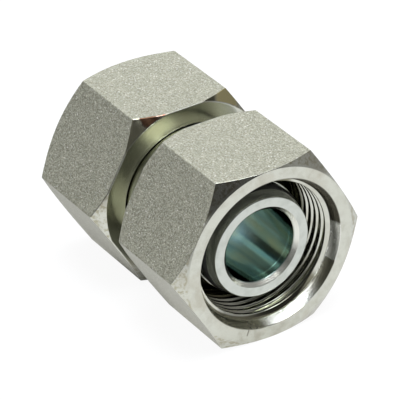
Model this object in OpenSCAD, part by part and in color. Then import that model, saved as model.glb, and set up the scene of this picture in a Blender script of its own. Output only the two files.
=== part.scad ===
// Straight swivel adapter for hydraulic tube: one turned spool with a sealing nose at each end
// and a hexagonal swivel nut on each nose.
// The axis of the adapter is X and the nuts lie on their lower flats, so the flats face +Z and -Z.

/* [Nuts] */
// Width across the flats of each nut
nut_af = 32; // [30:0.5:36]
// Length of each nut along the axis
nut_length = 20; // [18:0.5:24]
// Open gap between the backs of the two nuts
nut_gap = 5.6; // [4:0.2:10]
// Slope of the turned chamfer on the corners at the mouth, measured from the end face
hex_face_angle = 35; // [25:1:40]
// Slope of the turned chamfer on the corners at the back
hex_back_angle = 41; // [30:1:45]
// How far outside the flats the chamfer at the back starts
hex_back_start = 0.45; // [0.1:0.05:0.8]
// Chamfer on the edge of the hole in the back of each nut
back_chamfer = 0.15; // [0.1:0.05:0.5]

/* [Thread] */
// Nominal diameter of the metric thread in each nut
thread_d = 26; // [25:0.5:27]
// Pitch of the thread
thread_pitch = 1.5; // [1:0.25:2]
// Length of the threaded stretch
thread_length = 7.8; // [6:0.2:9]
// Depth of the smooth entry, which narrows from the mouth to the first turn
entry_depth = 2.7; // [1.5:0.1:3]
// How much wider than the thread the inner end of the entry is
entry_clearance = 0.9; // [0.1:0.1:1.2]
// How far the entry widens on each side from its inner end to the mouth
mouth_flare = 0.35; // [0.1:0.05:1]
// How much wider than the basic profile of the thread its core is
core_clearance = 0.3; // [0.1:0.05:0.4]
// Length of the run-out groove behind the thread
relief_length = 1.8; // [1:0.1:2.5]
// How much wider than the thread the run-out groove is
relief_clearance = 0.4; // [0.2:0.1:0.8]

/* [Spool] */
// Diameter of the passage through the spool
bore_d = 13.4; // [12:0.1:14]
// Chamfer at both ends of the passage
bore_chamfer = 0.75; // [0.3:0.05:1.2]
// Diameter of the plain middle that carries both nuts
collar_d = 24.6; // [23.6:0.1:25]
// Radial clearance between the middle of the spool and the back of a nut
swivel_clearance = 0.2; // [0.15:0.05:0.5]
// Distance from the run-out groove of the nut back to the front edge of the middle
collar_setback = 0.7; // [0.5:0.1:1.5]

/* [Noses] */
// Diameter of the flat end of each nose
tip_d = 18.4; // [17.4:0.1:18.6]
// Distance from the front face of the nut back to the end of the nose
tip_setback = 2.8; // [1:0.1:4]
// Chamfer on the outer edge of the flat end
tip_edge = 0.2; // [0.1:0.05:0.4]
// Included angle of the sealing cone
cone_angle = 24; // [20:1:28]
// Length of the sealing cone along the axis
cone_length = 6.8; // [5.5:0.1:7.5]

/* [Seals] */
// Thickness of each O-ring
seal_section = 2; // [1.8:0.1:2.2]
// Distance from the end of the nose back to the seal groove
seal_setback = 2.2; // [1.5:0.1:2.6]
// Room beside the O-ring in its groove, on each side
seal_side_room = 0.25; // [0.1:0.05:0.4]
// Diameter at the bottom of the seal groove
seal_groove_d = 16; // [15.6:0.1:16.4]
// Running gap between the O-ring and the bottom of its groove
seal_seat_gap = 0.02; // [0.01:0.01:0.05]

/* [Retaining rings] */
// Thickness of the round wire that holds each nut
ring_wire = 1.6; // [1.2:0.1:1.8]
// Distance from the back of the nut to the middle of the wire
ring_setback = 3.5; // [2.5:0.1:4.5]
// Opening of the split ring, as an angle
ring_opening = 24; // [10:1:60]
// Gap between the wire and the walls that it works against
ring_fit = 0.1; // [0.05:0.05:0.2]
// Distance that a nut can float along the spool, each way from the middle
ring_play = 0.2; // [0.1:0.05:0.4]

/* [Hidden] */
$fn = 96;
// Sides of a hexagon
hex_sides = 6;
// How far a cut reaches past the face that it opens
cut = 1;
// Depth of the metric basic profile, as a share of the pitch and counted on the diameter
profile_share = 1.0825;

hex_corner_r = nut_af / 2 / cos(180 / hex_sides);
hex_face_rise = (hex_corner_r - nut_af / 2) * tan(hex_face_angle);
hex_back_r = nut_af / 2 + hex_back_start;
hex_back_rise = (hex_corner_r - hex_back_r) * tan(hex_back_angle);
nut_back_x = nut_gap / 2;
nut_face_x = nut_back_x + nut_length;

core_r = (thread_d - profile_share * thread_pitch + core_clearance) / 2;
entry_r = (thread_d + entry_clearance) / 2;
relief_r = (thread_d + relief_clearance) / 2;
thread_front_x = nut_face_x - entry_depth;
thread_back_x = thread_front_x - thread_length;
relief_back_x = thread_back_x - relief_length;

collar_r = collar_d / 2;
back_bore_r = collar_r + swivel_clearance;
collar_end_x = relief_back_x - collar_setback;

tip_x = nut_face_x - tip_setback;
cone_back_x = tip_x - cone_length;
cone_slope = tan(cone_angle / 2);
neck_r = tip_d / 2 + cone_length * cone_slope;
shoulder_rise = collar_r - neck_r;

seal_groove_w = seal_section + 2 * seal_side_room;
seal_x = tip_x - seal_setback - seal_groove_w / 2;
seal_mid_r = seal_groove_d / 2 + seal_seat_gap + seal_section / 2;

ring_x = nut_back_x + ring_setback;
ring_mid_r = (collar_r + back_bore_r) / 2;
ring_out_r = ring_mid_r + ring_wire / 2;
ring_in_r = ring_mid_r - ring_wire / 2;
// The ring closes into the spool's groove until the back of the nut can pass over it
ring_closing = ring_out_r - back_bore_r;
ring_spool_groove_r = ring_in_r - ring_closing - ring_fit;
ring_spool_groove_w = ring_wire + 2 * (ring_play + ring_fit);
ring_nut_groove_r = ring_out_r + 2 * ring_fit;
ring_nut_groove_w = ring_wire + 2 * ring_fit;

// Solid turned about the X axis from an outline of [distance along X, radius] points
module turned(outline)
    rotate([0, 90, 0]) rotate_extrude() polygon([for (p = outline) [p[1], p[0]]]);

// Ring-shaped cut of a given width about the X axis, from one radius out to another
module ring_cut(middle_x, width, inner_r, outer_r)
    turned([[middle_x - width / 2, inner_r], [middle_x + width / 2, inner_r],
            [middle_x + width / 2, outer_r], [middle_x - width / 2, outer_r]]);

// One half of the spool, from its middle out to the flat end of the nose
module spool_half()
    turned([[0, 0], [0, collar_r],
            [collar_end_x, collar_r],
            [collar_end_x + shoulder_rise, neck_r],
            [cone_back_x, neck_r],
            [tip_x - tip_edge, tip_d / 2 + tip_edge * cone_slope],
            [tip_x, tip_d / 2 - tip_edge],
            [tip_x, 0]]);

// The cuts in one half of the spool: passage, seal groove and ring groove
module spool_half_cuts() {
    turned([[-cut, 0], [-cut, bore_d / 2],
            [tip_x - bore_chamfer, bore_d / 2],
            [tip_x + cut, bore_d / 2 + bore_chamfer + cut],
            [tip_x + cut, 0]]);
    ring_cut(seal_x, seal_groove_w, seal_groove_d / 2, collar_r + cut);
    ring_cut(ring_x, ring_spool_groove_w, ring_spool_groove_r, collar_r + cut);
}

module spool()
    color("lightslategray")
    difference() {
        for (turn = [0, 180]) rotate([0, 0, turn]) spool_half();
        for (turn = [0, 180]) rotate([0, 0, turn]) spool_half_cuts();
    }

// Hexagonal bar with a turned chamfer on the corners at both ends
module nut_blank()
    intersection() {
        translate([nut_back_x, 0, 0]) rotate([0, 90, 0]) rotate([0, 0, 90])
            cylinder(h = nut_length, r = hex_corner_r, $fn = hex_sides);
        turned([[nut_back_x, 0], [nut_back_x, hex_back_r],
                [nut_back_x + hex_back_rise, hex_corner_r],
                [nut_back_x + hex_back_rise, hex_corner_r + cut],
                [nut_face_x - hex_face_rise, hex_corner_r + cut],
                [nut_face_x - hex_face_rise, hex_corner_r],
                [nut_face_x, nut_af / 2], [nut_face_x, 0]]);
    }

// The hole through a nut: swivel bore, run-out groove, thread core and flared entry
module nut_hole()
    turned([[nut_back_x - cut, 0],
            [nut_back_x - cut, back_bore_r + back_chamfer + cut],
            [nut_back_x + back_chamfer, back_bore_r],
            [relief_back_x, back_bore_r], [relief_back_x, relief_r],
            [thread_back_x, relief_r], [thread_back_x, core_r],
            [thread_front_x, core_r], [thread_front_x, entry_r],
            [nut_face_x + cut, entry_r + mouth_flare * (entry_depth + cut) / entry_depth],
            [nut_face_x + cut, 0]]);

module nut()
    difference() {
        nut_blank();
        nut_hole();
        ring_cut(ring_x, ring_nut_groove_w, back_bore_r - cut, ring_nut_groove_r);
    }

module seal()
    translate([seal_x, 0, 0]) rotate([0, 90, 0])
        rotate_extrude() translate([seal_mid_r, 0]) circle(d = seal_section);

// Split ring of round wire, open at the top
module ring()
    translate([ring_x, 0, 0]) rotate([0, 90, 0]) rotate([0, 0, 180 + ring_opening / 2])
        rotate_extrude(angle = 360 - ring_opening) translate([ring_mid_r, 0]) circle(d = ring_wire);

module nut_front() color("silver") nut();
module nut_rear() color("silver") rotate([0, 0, 180]) nut();
module seal_front() color("dimgray") seal();
module seal_rear() color("dimgray") rotate([0, 0, 180]) seal();
module ring_front() color("gray") ring();
module ring_rear() color("gray") rotate([0, 0, 180]) ring();

spool();
nut_front();
nut_rear();
seal_front();
seal_rear();
ring_front();
ring_rear();
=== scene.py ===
import math

import bpy
import numpy as np
from mathutils import Matrix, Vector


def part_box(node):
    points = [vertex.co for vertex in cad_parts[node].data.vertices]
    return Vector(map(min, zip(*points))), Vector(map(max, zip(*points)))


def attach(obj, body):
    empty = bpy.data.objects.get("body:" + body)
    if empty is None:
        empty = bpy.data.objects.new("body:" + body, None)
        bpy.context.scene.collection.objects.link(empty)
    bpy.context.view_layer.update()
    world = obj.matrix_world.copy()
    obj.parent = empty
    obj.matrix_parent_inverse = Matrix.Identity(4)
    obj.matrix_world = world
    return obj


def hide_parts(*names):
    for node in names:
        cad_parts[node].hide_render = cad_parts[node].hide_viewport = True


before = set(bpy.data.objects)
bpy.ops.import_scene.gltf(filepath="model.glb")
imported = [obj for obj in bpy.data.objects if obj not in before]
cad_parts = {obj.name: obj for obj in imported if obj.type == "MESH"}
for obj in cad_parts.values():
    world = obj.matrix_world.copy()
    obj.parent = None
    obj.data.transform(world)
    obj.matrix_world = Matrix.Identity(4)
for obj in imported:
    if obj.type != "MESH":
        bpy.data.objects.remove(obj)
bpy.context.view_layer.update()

# Spool
# One piece turned from steel bar, with the passage drilled through it. The plain middle carries both nuts,
# and each end is a sealing nose with a groove for its O-ring. It is plated all over, and the plating in the
# passage has a blue-green tint. Bands of painted reflection and painted shade lie over it, the middle is
# painted darker as shade, and the chamfers of the passage are painted paler as a sheen.
mm = 0.001
tip_x, spool_r = (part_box("spool")[1][i] / mm for i in (0, 1))
passage_r, passage_chamfer = 6.7, 0.75
tip_r, cone_length, cone_slope = 9.2, 6.8, math.tan(math.radians(12))
cone_back_x, neck_r = tip_x - cone_length, tip_r + cone_length * cone_slope
middle_end_x = 9.8
ring_x, ring_groove_w, ring_groove_r = 6.3, 2.2, 10.8
ring_groove_back, ring_groove_front = ring_x - ring_groove_w / 2, ring_x + ring_groove_w / 2
seal_setback, seal_groove_w, seal_groove_r = 2.2, 2.5, 8.0
seal_groove_front = tip_x - seal_setback
seal_x, seal_groove_back = seal_groove_front - seal_groove_w / 2, seal_groove_front - seal_groove_w
columns_round = 240
round_angles = np.linspace(0, 2 * math.pi, columns_round, endpoint=False)


def cone_r(x):
    """Radius of the sealing cone: that of the flat end, plus the distance back from it times the slope."""
    return tip_r + (tip_x - x) * cone_slope


def eased(corners, ease, closed=True):
    """Profile with its corners rounded. Each corner B between A and C becomes the curve
    (1-t)^2 P + 2t(1-t) B + t^2 Q, where P and Q lie on its two sides at the easing distance, or at 0.24 of
    the side where that is less. One more point beyond each of them keeps the sides straight, so a corner
    makes six rows. An open profile keeps its first and last corner as one sharp row each."""
    corners = np.asarray(corners, float)
    ease = np.asarray(ease, float).reshape(-1, *[1] * (corners.ndim - 1))
    sides = [np.roll(corners, turn, 0) - corners for turn in (1, -1)]
    reach = [side * np.minimum(ease / np.maximum(np.linalg.norm(side, axis=-1, keepdims=True), 1e-9), 0.24)
             for side in sides]
    t = np.array([0, 0.3, 0.7, 1]).reshape(-1, *[1] * corners.ndim)
    curve = (1 - t) ** 2 * (corners + reach[0]) + 2 * t * (1 - t) * corners + t**2 * (corners + reach[1])
    run = np.concatenate([(corners + 2 * reach[0])[None], curve, (corners + 2 * reach[1])[None]])
    run = np.moveaxis(run, 0, 1)
    if closed:
        return run.reshape(-1, *corners.shape[1:])
    return np.concatenate([corners[:1], run[1:-1].reshape(-1, *corners.shape[1:]), corners[-1:]])


def about_axis(x, radius, angle):
    """Points at a distance along X, at a radius from the X axis and at an angle about it: the other two
    coordinates are the radius times the cosine and times the sine of the angle."""
    x, radius, angle = np.broadcast_arrays(x, radius, angle)
    return np.stack([x, radius * np.cos(angle), radius * np.sin(angle)], -1)


def piece_from_grid(name, points, closed=True):
    """A new piece from a grid of points in millimetres. The columns close on themselves. So do the rows,
    or else the first and last row are each filled with a flat end."""
    rows, columns = points.shape[:2]
    index = np.arange(rows * columns).reshape(rows, columns)
    right = np.roll(index, -1, 1)
    quads = np.stack([index, right, np.roll(right, -1, 0), np.roll(index, -1, 0)], -1)
    quads = quads.reshape(-1, 4) if closed else quads[:-1].reshape(-1, 4)
    ends = [] if closed else [index[0][::-1], index[-1]]
    corners = np.concatenate([quads.ravel(), *ends])
    starts = np.concatenate([np.arange(len(quads)) * 4, quads.size + np.arange(len(ends)) * columns])
    mesh = bpy.data.meshes.new(name)
    mesh.vertices.add(rows * columns)
    mesh.vertices.foreach_set("co", (points * mm).astype(np.float32).ravel())
    mesh.loops.add(len(corners))
    mesh.loops.foreach_set("vertex_index", corners.astype(np.int32))
    mesh.polygons.add(len(starts))
    mesh.polygons.foreach_set("loop_start", starts.astype(np.int32))
    mesh.polygons.foreach_set("use_smooth", np.arange(len(starts)) < len(quads))
    mesh.update(calc_edges=True)
    piece = bpy.data.objects.new(name, mesh)
    bpy.context.scene.collection.objects.link(piece)
    return piece


class Wire:
    """A socket in a node tree. Sums, differences, products and sizes of wires add Math nodes."""

    def __init__(self, tree, socket=None):
        self.tree, self.socket = tree, socket

    def node(self, kind, settings=None, inputs=None, output=0):
        """A node of any type, with its settings and the values or links of its sockets."""
        made = self.tree.nodes.new(kind)
        for key, value in (settings or {}).items():
            setattr(made, key, value)
        for key, value in (inputs or {}).items():
            if isinstance(value, Wire):
                self.tree.links.new(value.socket, made.inputs[key])
            else:
                made.inputs[key].default_value = value
        return Wire(self.tree, made.outputs[output] if made.outputs else None)

    def math(self, operation, *values):
        return self.node("ShaderNodeMath", {"operation": operation}, dict(enumerate(values)))

    def __add__(self, other): return self.math("ADD", self, other)
    def __sub__(self, other): return self.math("SUBTRACT", self, other)
    def __rsub__(self, other): return self.math("SUBTRACT", other, self)
    def __mul__(self, other): return self.math("MULTIPLY", self, other)
    def __abs__(self): return self.math("ABSOLUTE", self)
    __radd__, __rmul__ = __add__, __mul__

    def rise(self, low, high):
        """0 below low and 1 above high, turning smoothly between them. Low may be the greater."""
        return self.node("ShaderNodeMapRange", {"interpolation_type": "SMOOTHSTEP"},
                         {"Value": self, "From Min": low, "From Max": high})

    def near(self, middle, width):
        """1 at the middle, down to 0 at the width on both sides."""
        return abs(self - middle).rise(width, 0)

    def blend(self, first, second):
        """Colour that goes from the first to the second as this wire goes from 0 to 1. The colours of a
        Mix node are its inputs 6 and 7 and its output 2."""
        return self.node("ShaderNodeMix", {"data_type": "RGBA"}, {0: self, 6: first, 7: second}, 2)

    def vector(self, operation, first, second=None, output=0):
        values = {0: first} if second is None else {0: first, 1: second}
        return self.node("ShaderNodeVectorMath", {"operation": operation}, values, output)

    def distance(self, point):
        """Distance of this place from a point, in millimetres."""
        return self.vector("DISTANCE", self, point, output=1)

    def noise(self, scale, detail=2.0, roughness=0.5):
        return self.node("ShaderNodeTexNoise", None,
                         {"Vector": self, "Scale": scale, "Detail": detail, "Roughness": roughness})

    def bump(self, height, distance):
        """Surface direction tilted by a height, where the distance is what a height of 1 stands for, in metres."""
        return self.node("ShaderNodeBump", None, {"Height": height, "Distance": distance})

    def surface(self, **values):
        """Closes the tree with one shader that has these values."""
        names = {key: key.replace("_", " ").title() for key in values}
        shader = self.node("ShaderNodeBsdfPrincipled", None, {names[key]: values[key] for key in values})
        self.node("ShaderNodeOutputMaterial", None, {"Surface": shader})


def material(name):
    """A new material, with its place in millimetres, the distance along the X axis, the distance from it,
    and the angle about it in degrees, which is 0 towards Y and 90 upwards."""
    made = bpy.data.materials.new(name)
    made.use_nodes = True
    made.node_tree.nodes.clear()
    wire = Wire(made.node_tree)
    place = wire.vector("MULTIPLY", wire.node("ShaderNodeTexCoord", output="Object"), (1000, 1000, 1000))
    along, y, z = (wire.node("ShaderNodeSeparateXYZ", None, {0: place}, axis) for axis in (0, 1, 2))
    radius = wire.vector("LENGTH", wire.vector("MULTIPLY", place, (0, 1, 1)), output=1)
    return made, place, along, radius, wire.math("DEGREES", wire.math("ARCTAN2", z, y))


def turned_marks(place, along, radius, angle):
    """Height of the fine rings that a lathe tool leaves: noise that changes along the profile and hardly round it."""
    track = place.node("ShaderNodeCombineXYZ", None, {0: along, 1: radius, 2: angle * math.radians(0.15)})
    return track.noise(6.0, 3.0, 0.75)


spool_plating, place, along, radius, angle = material("spool_plating")
marks = turned_marks(place, along, radius, angle)

dark_teal = (0.10, 0.17, 0.16, 1)
tint = place.noise(0.16).rise(0.42, 0.6)
passage_tone = tint.blend((0.50, 0.67, 0.70, 1), (0.62, 0.70, 0.62, 1))
# A dark band by angle, from 8 mm towards the front end: painted reflection.
dark_reflection_band = angle.rise(-22, -17) * angle.rise(40, 20) * along.rise(8, 12)
passage_tone = dark_reflection_band.blend(passage_tone, (0.24, 0.27, 0.24, 1))
# Painted shade on the lower side of the passage, growing towards the front end.
lower_passage_shade = along.rise(5, 17) * angle.rise(-25, -45) * 0.55
passage_tone = lower_passage_shade.blend(passage_tone, dark_teal)
# A dark stripe about 58 degrees below Y, from 9 mm to the front end: painted shade.
shade_stripe = along.rise(6.8, 9) * angle.near(-58, 17) * 0.55
passage_tone = shade_stripe.blend(passage_tone, dark_teal)
# An olive tone on the side of the passage towards Y: painted reflection.
olive_reflection = angle.rise(-50, -32) * angle.rise(100, 60) * 0.75
passage_tone = olive_reflection.blend(passage_tone, (0.46, 0.48, 0.36, 1))
ring_mark = along.near(18, 0.22) * angle.rise(20, -10) * angle.rise(-125, -90) * 0.7
passage_tone = ring_mark.blend(passage_tone, (0.80, 0.95, 0.90, 1))

# The middle between the nuts is painted darker than the noses: painted shade.
nose = abs(along).rise(9, 19)
smudge = place.noise(0.5, 3.0).rise(0.4, 0.7)
outside_tone = nose.blend((0.52, 0.53, 0.41, 1), smudge.blend((0.70, 0.73, 0.67, 1), (0.62, 0.65, 0.59, 1)))
tool_lines = radius.near(passage_r + 0.42, 0.07) * 0.4 + radius.near(passage_r + 0.72, 0.05) * 0.35
outside_tone = tool_lines.blend(outside_tone, (0.30, 0.32, 0.28, 1))
# The chamfer at each mouth of the passage is painted paler: a painted sheen.
chamfer_r = passage_r + passage_chamfer
chamfer_sheen = radius.rise(chamfer_r + 0.05, chamfer_r - 0.05) * radius.rise(passage_r + 0.14, passage_r + 0.2)
outside_tone = chamfer_sheen.blend(outside_tone, (0.88, 0.89, 0.80, 1))

in_passage = radius.rise(passage_r + 0.12, passage_r + 0.02)
place.surface(base_color=in_passage.blend(outside_tone, passage_tone), metallic=1.0,
              roughness=0.20 - in_passage * 0.13,
              normal=place.bump(marks * (0.02 + nose * 0.68 - in_passage * 0.4), 0.02 * mm))

right_half = [(ring_groove_back, spool_r), (ring_groove_back, ring_groove_r),
              (ring_groove_front, ring_groove_r), (ring_groove_front, spool_r),
              (middle_end_x, spool_r), (middle_end_x + spool_r - neck_r, neck_r), (cone_back_x, neck_r),
              (seal_groove_back, cone_r(seal_groove_back)), (seal_groove_back, seal_groove_r),
              (seal_groove_front, seal_groove_r), (seal_groove_front, cone_r(seal_groove_front)),
              (tip_x, tip_r), (tip_x, passage_r + passage_chamfer), (tip_x - passage_chamfer, passage_r)]
right_ease = [0.08, 0.1, 0.1, 0.08, 0.15, 0.2, 0.3, 0.1, 0.1, 0.1, 0.1, 0.22, 0.05, 0.05]
left_half = [(-x, r) for x, r in right_half[::-1]]
spool_profile = eased(left_half + right_half, right_ease[::-1] + right_ease)
spool = piece_from_grid("spool_turned", about_axis(spool_profile[:, :1], spool_profile[:, 1:], round_angles))
spool.data.materials.append(spool_plating)
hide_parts("spool")
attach(spool, "spool")

# O-rings
# Moulded black rubber rings, one stretched into the groove of each nose, where it seals against the cone of the
# mating fitting. A faint seam shows where the mould halves met.
rubber, place, *_ = material("seal_rubber")
place.surface(base_color=place.noise(1.2, 3.0).blend((0.018, 0.018, 0.018, 1), (0.032, 0.031, 0.029, 1)),
              roughness=0.42, normal=place.bump(place.noise(9.0), 0.003 * mm))
both_ends = (("front", 1), ("rear", -1))
seal_wire_r, seam_height, seam_width = 1.0, 0.012, 0.12
seal_mid_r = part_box("seal_front")[1][1] / mm - seal_wire_r
around_seal = np.linspace(0, 2 * math.pi, 28, endpoint=False)[:, None]
section_r = seal_wire_r + seam_height * (np.exp(-((np.sin(around_seal) / seam_width) ** 2)) - 1)
for name, side in both_ends:
    seal = piece_from_grid("seal_" + name + "_ring", about_axis(
        side * seal_x - np.cos(around_seal) * section_r, seal_mid_r + np.sin(around_seal) * section_r, round_angles))
    seal.data.materials.append(rubber)
    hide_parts("seal_" + name)
    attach(seal, "spool")

# Retaining rings
# Split rings of drawn spring wire, sprung into the groove under each nut. They are open at the top, and their
# ends are cut square.
wire_steel, place, *_ = material("ring_steel")
place.surface(base_color=place.noise(0.8, 3.0).blend((0.40, 0.39, 0.37, 1), (0.52, 0.51, 0.48, 1)), metallic=1.0,
              roughness=0.34, normal=place.bump(place.noise(7.0), 0.003 * mm))
ring_mid_r, ring_wire_r, ring_opening = 12.4, 0.8, 24
top = 90
along_wire = np.radians(np.linspace(top + ring_opening / 2, top + 360 - ring_opening / 2, 150))[:, None]
around_wire = np.linspace(0, 2 * math.pi, 20, endpoint=False)
for name, side in both_ends:
    ring = piece_from_grid("ring_" + name + "_wire", about_axis(
        side * ring_x + ring_wire_r * np.sin(around_wire), ring_mid_r + ring_wire_r * np.cos(around_wire),
        along_wire), closed=False)
    ring.data.materials.append(wire_steel)
    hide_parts("ring_" + name)
    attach(ring, name + "_ring")

# Nuts
# Two swivel nuts of hexagonal steel bar. Both ends are turned, with a chamfer on the corners. The hole has a
# smooth entry that narrows inwards, a right-hand thread with a lead-in cone, a run-out groove and the seat of
# the retaining ring. The flats are blasted before plating, which leaves them grainy. Painted light and shade
# sit in the colours: a paler lower flat, glints on the flats, highlights and shade in the entry and thread,
# shade at the bottom of the front face and a highlight on the face of the rear nut.
nut_low, nut_high = (np.array(corner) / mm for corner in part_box("nut_front"))
nut_back_x, nut_face_x = nut_low[0], nut_high[0]
flat_r, corner_r = nut_high[2], nut_high[1]
front_chamfer_r, back_chamfer_r = flat_r - 0.05, flat_r + 0.45
front_chamfer_slope, back_chamfer_slope = math.tan(math.radians(35)), math.tan(math.radians(41))
corner_rounding, back_edge = 0.22, 0.12
mouth_r, entry_r, relief_r = 13.8, 13.2, 13.2
entry_depth, thread_length, relief_length = 2.05, 8.45, 1.8
thread_front_x = nut_face_x - entry_depth
thread_back_x = thread_front_x - thread_length
relief_back_x = thread_back_x - relief_length
deep_cut, deep_cut_angle, deep_cut_width = 0.3, math.radians(58), math.radians(32)
nut_back_r, nut_back_chamfer = 12.5, 0.15
ring_seat_w, ring_seat_r = 1.8, 13.4
ring_seat_back, ring_seat_front = ring_x - ring_seat_w / 2, ring_x + ring_seat_w / 2
pitch, thread_r, crest_r, basic_crest_r = 1.5, 13.0, 12.338, 12.188
flank_slope = math.sqrt(3)
crest_w = pitch / 4 + 2 * (crest_r - basic_crest_r) / flank_slope
thread_start, lead_in_slope, thread_rows = 0.283, 0.38, 152
steps_at_corner = np.radians([-1.2, -0.7, -0.34, -0.17, 0.17, 0.34, 0.7, 1.2])
nut_angles = np.sort(np.concatenate([
    round_angles, (np.radians(np.arange(6) * 60)[:, None] + steps_at_corner).ravel() % (2 * math.pi)]))


def hexagon_radius(angle):
    """Distance from the axis to the side of the hexagon: flat_r / cos(angle from the middle of the flat),
    and at a corner the far side of a circle of the rounding radius that touches both flats."""
    half_flat = math.pi / 6
    off_corner = (angle + half_flat) % (2 * half_flat) - half_flat
    flat = flat_r / np.cos(half_flat - np.abs(off_corner))
    middle = corner_r - corner_rounding / math.cos(half_flat)
    inner = corner_rounding**2 - (middle * np.sin(off_corner)) ** 2
    touch = math.atan2(corner_rounding / 2, middle + corner_rounding * math.cos(half_flat))
    return np.where(np.abs(off_corner) < touch, middle * np.cos(off_corner) + np.sqrt(np.maximum(inner, 0)), flat)


def entry_end(angle):
    """Radius at the inner end of the entry. On a bell curve about one angle, it is smaller by the deep cut,
    because there the tool ran further into the first turn of the thread."""
    return entry_r - deep_cut * np.exp(-((angle - deep_cut_angle) / deep_cut_width) ** 2)


def thread_radius(x, angle):
    """Radius of the threaded hole. The ridge winds to the right, one pitch a turn. Over the width of its flat
    crest it has the radius of the crest, and from there it widens by the slope of the flanks, sixty degrees
    apart, up to the radius of the thread. The lead-in cone cuts off what lies inside it."""
    turn = (x - thread_front_x) / pitch - angle / (2 * math.pi) + thread_start
    off_crest = np.abs((turn + 0.5) % 1 - 0.5) * pitch
    ridge = crest_r + np.clip((off_crest - crest_w / 2) * flank_slope, 0, thread_r - crest_r)
    return np.maximum(ridge, entry_end(angle) - (thread_front_x - x) / lead_in_slope)


side_r = hexagon_radius(nut_angles)
front_rise = (side_r - front_chamfer_r) * front_chamfer_slope
back_r = np.minimum(side_r, back_chamfer_r)
back_rise = (side_r - back_r) * back_chamfer_slope
columns = np.ones_like(nut_angles)
profile = [(thread_back_x, relief_r), (relief_back_x, relief_r), (relief_back_x, nut_back_r),
           (ring_seat_front, nut_back_r), (ring_seat_front, ring_seat_r),
           (ring_seat_back, ring_seat_r), (ring_seat_back, nut_back_r),
           (nut_back_x + nut_back_chamfer, nut_back_r), (nut_back_x, nut_back_r + nut_back_chamfer),
           (nut_back_x, back_r - back_edge), (nut_back_x + back_edge + back_rise, side_r),
           (nut_face_x - front_rise, side_r), (nut_face_x, front_chamfer_r),
           (nut_face_x, mouth_r), (thread_front_x, entry_end(nut_angles))]
profile = np.array([[x * columns, r * columns] for x, r in profile]).transpose(0, 2, 1)
profile_ease = [0, 0.1, 0.1, 0.05, 0.05, 0.05, 0.05, 0.05, 0.05, 0.1, 0.12, 0.03, 0.1, 0.1, 0]
walls = eased(profile, profile_ease, closed=False)
thread_x = np.linspace(thread_front_x, thread_back_x, thread_rows)[:, None] * columns
rows_x = np.concatenate([walls[..., 0], thread_x])
rows_r = np.concatenate([walls[..., 1], thread_radius(thread_x, nut_angles)])

blasted, place, _, _, angle = material("nut_blasted")
grain = place.noise(3.0, 3.0, 0.8)
uneven = (grain * 0.8 + place.noise(1.4) * 0.2).rise(0.36, 0.64)
tone = uneven.blend((0.30, 0.298, 0.228, 1), (0.59, 0.585, 0.478, 1))
# The flat that faces down and away from Y is painted paler on each nut: painted light.
painted_light_flat = angle.rise(-118, -122) * 0.4
tone = painted_light_flat.blend(tone, (0.92, 0.92, 0.86, 1))
# Paler specks at random on the flats: painted glints.
sparkle = place.noise(3.4, 1.0).rise(0.63, 0.74)
place.surface(base_color=sparkle.blend(tone, (0.82, 0.82, 0.76, 1)), metallic=1.0, roughness=0.58,
              normal=place.bump(grain, 0.28 * mm))

turned, place, along, radius, angle = material("nut_turned")
marks = turned_marks(place, along, radius, angle)
from_middle = abs(along)
smudge = place.noise(0.45, 4.0, 0.6).rise(0.4, 0.7)
tone = smudge.blend((0.73, 0.74, 0.65, 1), (0.65, 0.65, 0.56, 1))
dull_patches = place.noise(0.25, 3.0).rise(0.52, 0.7) * 0.25
tone = dull_patches.blend(tone, (0.50, 0.44, 0.33, 1))
handled = radius.rise(flat_r + 0.1, flat_r + 0.4) * place.noise(1.1, 4.0, 0.65).rise(0.45, 0.62) * 0.7
tone = handled.blend(tone, (0.42, 0.39, 0.26, 1))

entry = from_middle.rise(thread_front_x - 0.03, thread_front_x + 0.05) * radius.rise(mouth_r + 0.15, mouth_r - 0.05)
# The entry wall is painted by angle: a painted highlight from about 0 to -90 degrees, weaker between -25 and -60, and
# painted shade elsewhere.
entry_highlight = angle.rise(6, 3) * angle.rise(-100, -90) * (1 - angle.rise(-24, -26) * angle.rise(-62, -40))
entry_shade_tone = angle.rise(-30, 10).blend((0.30, 0.29, 0.22, 1), (0.13, 0.12, 0.09, 1))
tone = entry.blend(tone, entry_highlight.blend(entry_shade_tone, (0.95, 0.95, 0.88, 1)))
# The lead-in cone is painted dark above about 64 degrees and below about -40 degrees: painted shade.
lead_in = from_middle.rise(thread_front_x - 0.55, thread_front_x - 0.4) * radius.rise(entry_r + 0.02, entry_r - 0.02)
lead_in = lead_in * (angle.rise(-36, -44) + angle.rise(60, 68)) * (1 - entry)
tone = lead_in.blend(tone, (0.26, 0.25, 0.18, 1))
# The deepest turns of the thread and the groove behind them are painted dark: painted shade.
deep_thread_shade = from_middle.rise(relief_back_x - 1.5, relief_back_x - 0.9)
deep_thread_shade = deep_thread_shade * from_middle.rise(thread_back_x + 1.4, thread_back_x + 0.8)
tone = deep_thread_shade.blend(tone, (0.08, 0.08, 0.05, 1))
threaded = radius.rise(entry_r + 0.01, entry_r - 0.05)
# Inside the thread, the lower side away from Y is painted darker: painted shade.
low_thread_shade = threaded * from_middle.rise(thread_front_x - 0.55, thread_front_x - 0.75) * angle.near(-122, 38) * 0.65
tone = low_thread_shade.blend(tone, (0.16, 0.14, 0.09, 1))

# The bottom of the front face is painted darker in patches: painted shade.
face_bottom_shade = along.rise(nut_face_x - 0.4, nut_face_x - 0.1) * angle.near(-103, 42) * (0.3 + smudge * 0.4)
tone = face_bottom_shade.blend(tone, (0.47, 0.46, 0.37, 1))
nick = along.rise(nut_face_x - 0.2, nut_face_x - 0.1) * angle.near(-110.4, 0.9)
nick = nick * radius.rise(mouth_r, mouth_r + 0.15) * radius.rise(mouth_r + 1.4, mouth_r + 1.0)
tone = (nick * 0.8).blend(tone, (0.16, 0.15, 0.11, 1))
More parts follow.
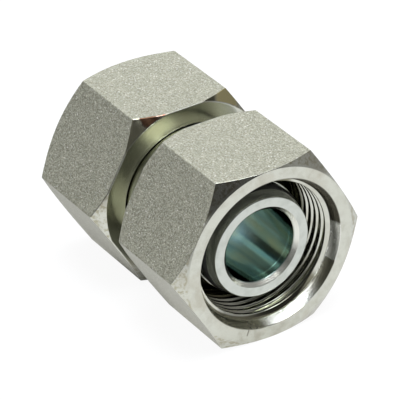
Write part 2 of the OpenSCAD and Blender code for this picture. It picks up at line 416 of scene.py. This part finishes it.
# A pale patch on the face of the rear nut towards the middle, upwards and away from Y: painted highlight.
rear_face_highlight = along.near(-nut_back_x, 0.1) * angle.near(116, 22)
tone = rear_face_highlight.blend(tone, (0.95, 0.97, 0.82, 1))

# The burnt stains on the chamfer at the back of the rear nut: where each begins and ends, and its colour
rear_chamfer = along.rise(-nut_back_x - 2.6, -nut_back_x - 2.2) * along.rise(-nut_back_x + 0.8, -nut_back_x)
rear_chamfer = rear_chamfer * radius.rise(back_chamfer_r - 0.05, back_chamfer_r + 0.05)
wander = angle + (smudge - 0.5) * 3.44
for first, last, colour in ((101, 107, (0.36, 0.13, 0.07, 1)), (107, 119, (0.09, 0.05, 0.03, 1)),
                            (119, 137, (0.36, 0.35, 0.25, 1)), (66, 80, (0.12, 0.12, 0.08, 1)),
                            (50, 66, (0.62, 0.55, 0.30, 1))):
    stain = rear_chamfer * wander.rise(first - 2, first + 2) * wander.rise(last + 2, last - 2)
    tone = stain.blend(tone, colour)

marks_depth = 0.3 - threaded * 0.3 + entry * 3 - along.near(-nut_back_x, 0.15) * 0.3
place.surface(base_color=tone, metallic=1.0, roughness=0.15 + smudge * 0.06 - threaded * 0.06 + entry * 0.08,
              normal=place.bump(marks * marks_depth - nick * 2, 0.03 * mm))

# The blasted flats are the three rows of faces between the curves of two corners of the profile
rows_a_corner, corner_before_flats, flat_rows = 6, 10, 3
face_rows = np.repeat(np.arange(len(rows_x)), len(nut_angles))
first_flat_row = rows_a_corner * corner_before_flats - 1
on_flats = (face_rows >= first_flat_row) & (face_rows < first_flat_row + flat_rows)
for name, side in both_ends:
    grid = about_axis(rows_x, rows_r, nut_angles) * (side, side, 1)
    nut = piece_from_grid("nut_" + name + "_hexagon", grid)
    nut.data.materials.append(turned)
    nut.data.materials.append(blasted)
    nut.data.polygons.foreach_set("material_index", on_flats.astype(np.int32))
    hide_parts("nut_" + name)
    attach(nut, name + "_nut")

# Table and backdrop
# A plain white sheet under the adapter, which keeps its soft shadow. The camera sees white paper. In the plated
# surfaces the paper shows a painted pool of light in front of the adapter and another to its side, and a painted
# shadow under it.
sheet_reach, sheet_z = 3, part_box("nut_front")[0][2]
sheet_corners = [(x * sheet_reach, y * sheet_reach, sheet_z) for x, y in ((-1, -1), (1, -1), (1, 1), (-1, 1))]
sheet_mesh = bpy.data.meshes.new("table")
sheet_mesh.from_pydata(sheet_corners, [], [(0, 1, 2, 3)])
table = bpy.data.objects.new("table", sheet_mesh)
bpy.context.scene.collection.objects.link(table)
paper, place, *_ = material("table_paper")
to_camera, in_mirror, through_glass = (place.node("ShaderNodeLightPath", output="Is " + kind + " Ray")
                                       for kind in ("Camera", "Glossy", "Transmission"))
# Painted pools of light and a painted shadow, placed by position, for the plated surfaces only.
in_front = place.distance((68, 22, -16)).rise(100, 32)
beside = place.distance((-20, -50, -16)).rise(90, 25)
not_under = place.distance((-4, -3, -16)).rise(5, 15) * 0.8 + 0.2
glow = to_camera * 1.03 + in_mirror * (in_front * 0.52 + beside * 0.6 + 0.5) * not_under
lit = place.node("ShaderNodeBsdfDiffuse", None, {"Color": 0.86 - in_mirror * (0.40 + (1 - in_front) * 0.14)})
white = place.node("ShaderNodeEmission", None, {"Color": (1, 1, 1, 1), "Strength": glow})
sheet = place.node("ShaderNodeMixShader", None,
                   {0: to_camera * 0.9 + (in_mirror + through_glass) * 0.55, 1: lit, 2: white})
place.node("ShaderNodeOutputMaterial", None, {"Surface": sheet})
table.data.materials.append(paper)

# Studio light
# A large soft lamp overhead, a dim sky that is paler at the top, and soft round panels in it, lighter and darker,
# which the plated surfaces mirror. The camera sees plain white.
world = bpy.data.worlds.new("studio")
bpy.context.scene.world = world
world.use_nodes = True
world.node_tree.nodes.clear()
sky = Wire(world.node_tree)
toward = sky.vector("NORMALIZE", sky.node("ShaderNodeTexCoord", output="Generated"))
height = sky.node("ShaderNodeSeparateXYZ", None, {0: toward}, 2)
level = height.rise(0.45, 0.95) * 0.55 + 0.12
# Direction of each panel, the degrees from it up to which the panel is whole and where it ends, and its level
for direction, whole, end, value in (
        ((-0.73, 0.40, 0.50), 26, 44, 0.60), ((-0.75, 0.08, 0.63), 12, 22, 1.5),
        ((-0.60, -0.80, -0.02), 15, 35, 0.15), ((-0.73, -0.52, 0.38), 14, 27, 0.13),
        ((0.85, -0.52, 0.04), 8, 18, 0.45), ((0.90, 0.05, 0.42), 18, 32, 0.06),
        ((0.46, 0.86, 0.21), 14, 30, 0.30), ((0.16, 0.06, 0.98), 17, 25, 6.9),
        ((0.675, -0.10, 0.73), 2, 4, 2.2)):
    direction = np.array(direction) / np.linalg.norm(direction)
    facing = toward.vector("DOT_PRODUCT", toward, tuple(direction), output=1)
    panel = facing.rise(math.cos(math.radians(end)), math.cos(math.radians(whole)))
    level = level + panel * (value - level)
sky_colour = height.rise(0.75, 0.95).blend((1, 1, 1, 1), (0.90, 0.93, 1, 1))
background = sky.node("ShaderNodeBackground", None, {"Color": sky_colour, "Strength": level})
backdrop = sky.node("ShaderNodeBackground", None, {"Color": (1, 1, 1, 1), "Strength": 1.0})
to_camera = sky.node("ShaderNodeLightPath", output="Is Camera Ray")
sky.node("ShaderNodeOutputWorld", None,
         {"Surface": sky.node("ShaderNodeMixShader", None, {0: to_camera, 1: background, 2: backdrop})})

lamp = bpy.data.lights.new("overhead_softbox", "AREA")
lamp.shape, lamp.size, lamp.size_y, lamp.energy = "RECTANGLE", 0.9, 0.7, 4.6
lamp.color = (0.90, 0.93, 1.0)
overhead = bpy.data.objects.new("overhead_softbox", lamp)
bpy.context.scene.collection.objects.link(overhead)
overhead.matrix_world = Matrix.Translation((-0.15, 0.1, 1.0))

# Camera
# It stands where the photograph was taken from, in front and to the left of the adapter and above it. Its place,
# direction and focal length come from fitting it to the edges in the photograph.
picture_width, focal_length = 400, 3157.44  # both in pixels of the photograph
stands_at = (0.39346, -0.23784, 0.27655)
right, down, forward = (0.53491, 0.84425, -0.03344), (0.42114, -0.30073, -0.85569), (-0.73247, 0.44363, -0.51641)
lens = bpy.data.cameras.new("camera")
lens.sensor_width, lens.sensor_fit = 36.0, "HORIZONTAL"
lens.lens = focal_length * lens.sensor_width / picture_width
lens.clip_start, lens.clip_end = 0.01, 50
camera = bpy.data.objects.new("camera", lens)
bpy.context.scene.collection.objects.link(camera)
camera.matrix_world = Matrix.Translation(stands_at) @ Matrix(
    [(right[i], -down[i], -forward[i]) for i in range(3)]).to_4x4()
bpy.context.scene.camera = camera
bpy.context.scene.view_settings.view_transform = "Standard"
